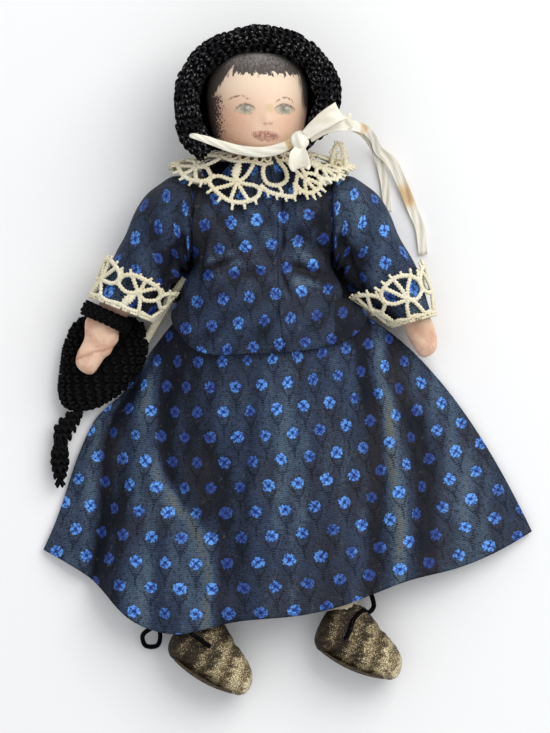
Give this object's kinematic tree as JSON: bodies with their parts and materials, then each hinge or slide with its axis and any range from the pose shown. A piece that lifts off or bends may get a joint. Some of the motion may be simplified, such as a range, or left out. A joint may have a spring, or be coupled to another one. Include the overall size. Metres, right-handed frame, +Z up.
{
  "type": "cloth doll",
  "caption": "Stuffed cloth doll with a painted face, lying on its back in a brocade jacket and fanned skirt, lace collar and cuffs, crocheted bonnet and bag.",
  "frame": {"origin": "on the table under the middle of the hips, on the flat underside of the skirt's back panel", "axes": "+Y towards the head, +X towards the doll's left hand, +Z up from the table through the doll's front"},
  "size_m": [0.1641, 0.2264, 0.039],
  "materials": {
    "brocade": "satin ground with woven florets",
    "muslin": "plain weave",
    "painted_cloth": "oil-painted weave",
    "tatted_lace": "cotton thread",
    "silk_ribbon": "soft silk",
    "black_yarn": "crocheted wool",
    "shoe_leather": "worn, flecked",
    "sole_leather": "worn"
  },
  "bodies": {
    "torso": {"torso_body": "muslin", "jacket_front_right": "brocade", "jacket_front_left": "brocade", "jacket_back": "brocade", "collar_lace": "tatted_lace", "skirt_waistband": "brocade", "skirt_front_panel": "brocade", "skirt_back_panel": "brocade"},
    "head": {"head": "painted_cloth", "bonnet_crown": "black_yarn", "bonnet_brim": "black_yarn", "chin_ribbon": "silk_ribbon", "ribbon_knot": "silk_ribbon", "bow_loop_upper": "silk_ribbon", "bow_loop_lower": "silk_ribbon", "ribbon_tail_long": "silk_ribbon", "ribbon_tail_short": "silk_ribbon"},
    "right_arm": {"right_arm": "painted_cloth", "right_sleeve": "brocade", "right_cuff_lace": "tatted_lace", "bag_strap": "black_yarn"},
    "bag": {"bag_pouch": "black_yarn", "bag_tassel": "black_yarn"},
    "left_arm": {"left_arm": "painted_cloth", "left_sleeve": "brocade", "left_cuff_lace": "tatted_lace"},
    "right_leg": {"right_leg": "muslin", "right_shoe_upper": "shoe_leather", "right_shoe_sole": "sole_leather", "right_shoe_lace": "black_yarn"},
    "left_leg": {"left_leg": "muslin", "left_shoe_upper": "shoe_leather", "left_shoe_sole": "sole_leather", "left_shoe_lace": "black_yarn"}
  },
  "joints": [
    {"name": "neck_turn", "type": "hinge", "parent": "torso", "child": "head", "pos_m": [0, 0.074, 0.0136], "axis": [0, 1, 0], "range_deg": [-15, 15], "stiffness_Nm_per_rad": 0.02, "deforming": ["ribbon_tail_long", "ribbon_tail_short"]},
    {"name": "right_shoulder", "type": "hinge", "parent": "torso", "child": "right_arm", "pos_m": [-0.0236, 0.0575, 0.0136], "axis": [-1, 0, 0], "range_deg": [0, 100]},
    {"name": "left_shoulder", "type": "hinge", "parent": "torso", "child": "left_arm", "pos_m": [0.0236, 0.0575, 0.0136], "axis": [-1, 0, 0], "range_deg": [0, 100]},
    {"name": "right_hip", "type": "hinge", "parent": "torso", "child": "right_leg", "pos_m": [-0.0105, 0, 0.0092], "axis": [-1, 0, 0], "range_deg": [0, 85], "deforming": ["skirt_front_panel", "skirt_back_panel"]},
    {"name": "left_hip", "type": "hinge", "parent": "torso", "child": "left_leg", "pos_m": [0.0105, 0, 0.0092], "axis": [-1, 0, 0], "range_deg": [0, 85]},
    {"name": "bag_swing", "type": "hinge", "parent": "right_arm", "child": "bag", "pos_m": [-0.052, 0.0239, 0.0044], "axis": [0, 0, 1], "range_deg": [-40, 0]}
  ],
  "couplings": [
    {"joint": "left_hip", "follows": "right_hip", "ratio": 1}
  ]
}
